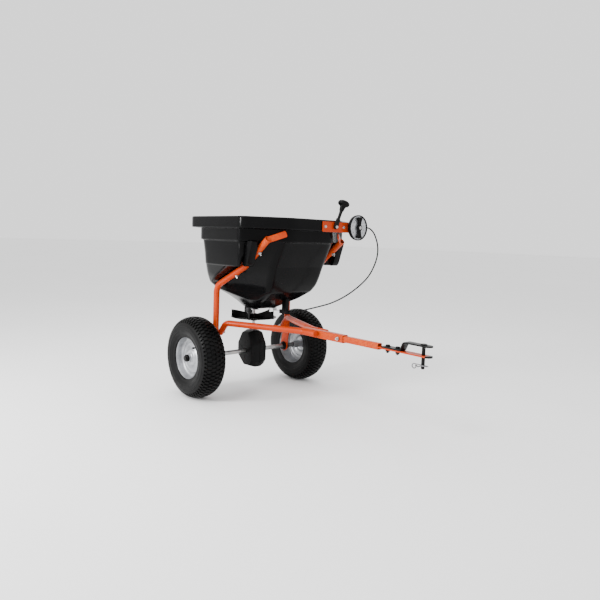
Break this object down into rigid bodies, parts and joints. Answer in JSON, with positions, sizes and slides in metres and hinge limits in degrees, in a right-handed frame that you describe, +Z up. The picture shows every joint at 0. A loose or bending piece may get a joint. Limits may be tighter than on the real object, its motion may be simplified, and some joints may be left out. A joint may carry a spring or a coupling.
{
  "type": "tow-behind broadcast garden spreader",
  "caption": "Tow-behind broadcast spreader: black tub on an orange tube frame, pneumatic wheels, axle-driven spreading disc, pin hitch, rate lever and dial with cable.",
  "frame": {"origin": "middle of the machine's footprint at ground level", "axes": "+X towards the hitch, +Y to the left of travel, +Z up"},
  "size_m": [1.1, 0.6594, 0.8102],
  "materials": {
    "orange_paint": "gloss powder coat",
    "hopper_plastic": "satin moulded polyethylene",
    "black_plastic": "moulded",
    "tyre_rubber": "moulded rubber",
    "rim_steel": "silver paint",
    "zinc": "zinc plated",
    "black_steel": "black paint",
    "dial_silver": "satin",
    "cable_jacket": "smooth"
  },
  "bodies": {
    "frame": {"axle_bearing_right": "black_plastic", "gear_case_right": "black_plastic", "gate_rail_right": "black_plastic", "frame_bolt_right": "zinc", "bracket_bolt_right": "zinc", "hopper_bolt_rear_right": "zinc", "hopper_bolt_middle_right": "zinc", "hopper_post_right": "orange_paint", "drawbar_tube_right": "orange_paint", "axle_bearing_left": "black_plastic", "gear_case_left": "black_plastic", "gate_rail_left": "black_plastic", "frame_bolt_left": "zinc", "bracket_bolt_left": "zinc", "hopper_bolt_rear_left": "zinc", "hopper_bolt_middle_left": "zinc", "hopper_post_left": "orange_paint", "drawbar_tube_left": "orange_paint", "tongue_bolt": "zinc", "lever_pivot_bolt": "zinc", "dial_screw": "zinc", "tongue_outer_tube": "orange_paint", "tongue_inner_tube": "orange_paint", "hitch_bar": "orange_paint", "control_bracket": "orange_paint", "hitch_clevis": "black_steel", "hitch_bolt_rear": "black_steel", "hitch_bolt_front": "black_steel", "cable_anchor": "black_plastic", "dial_housing": "black_plastic", "hopper": "hopper_plastic", "dial_face": "dial_silver", "control_cable": "cable_jacket"},
    "drive_axle": {"axle": "zinc", "drive_pin": "zinc", "axle_washer_right": "black_steel", "axle_washer_left": "black_steel", "axle_cotter_right": "black_steel", "axle_cotter_left": "black_steel", "tyre_right": "tyre_rubber", "wheel_rim_right": "rim_steel", "wheel_hub_right": "rim_steel", "hub_bushing_right": "black_plastic", "valve_stem_right": "black_plastic", "drive_gear": "zinc"},
    "free_wheel": {"tyre_left": "tyre_rubber", "wheel_rim_left": "rim_steel", "wheel_hub_left": "rim_steel", "hub_bushing_left": "black_plastic", "valve_stem_left": "black_plastic"},
    "spinner": {"pinion": "zinc", "spinner_shaft": "zinc", "spreading_disc": "black_plastic", "agitator_pin": "zinc"},
    "lever": {"flow_lever": "black_steel", "lever_knob": "black_plastic"},
    "gate": {"gate_plate": "zinc"},
    "dial": {"dial_knob": "black_plastic"},
    "pin": {"hitch_pin": "black_steel"},
    "clip": {"hairpin_clip": "zinc"}
  },
  "joints": [
    {"name": "axle_turn", "type": "hinge", "parent": "frame", "child": "drive_axle", "pos_m": [-0.385, 0, 0.165], "axis": [0, 1, 0], "continuous": true},
    {"name": "free_wheel_turn", "type": "hinge", "parent": "drive_axle", "child": "free_wheel", "pos_m": [-0.385, 0.2777, 0.165], "axis": [0, 1, 0], "continuous": true},
    {"name": "spinner_turn", "type": "hinge", "parent": "frame", "child": "spinner", "pos_m": [-0.385, 0.013, 0.3], "axis": [0, 0, 1], "continuous": true},
    {"name": "lever_swing", "type": "hinge", "parent": "frame", "child": "lever", "pos_m": [0.017, 0.09, 0.704], "axis": [1, 0, 0], "range_deg": [0, 45]},
    {"name": "gate_slide", "type": "slide", "parent": "frame", "child": "gate", "axis": [1, 0, 0], "range_m": [0, 0.035]},
    {"name": "dial_turn", "type": "hinge", "parent": "frame", "child": "dial", "pos_m": [0.0155, 0.205, 0.705], "axis": [1, 0, 0], "range_deg": [-120, 120]},
    {"name": "pin_lift", "type": "slide", "parent": "frame", "child": "pin", "axis": [0, 0, 1], "range_m": [0, 0.02]},
    {"name": "clip_pull", "type": "slide", "parent": "pin", "child": "clip", "axis": [-1, 0, 0], "range_m": [0, 0.045]}
  ],
  "couplings": [
    {"joint": "spinner_turn", "follows": "axle_turn", "ratio": 3},
    {"joint": "gate_slide", "follows": "lever_swing", "m_per_rad": 0.0445}
  ]
}
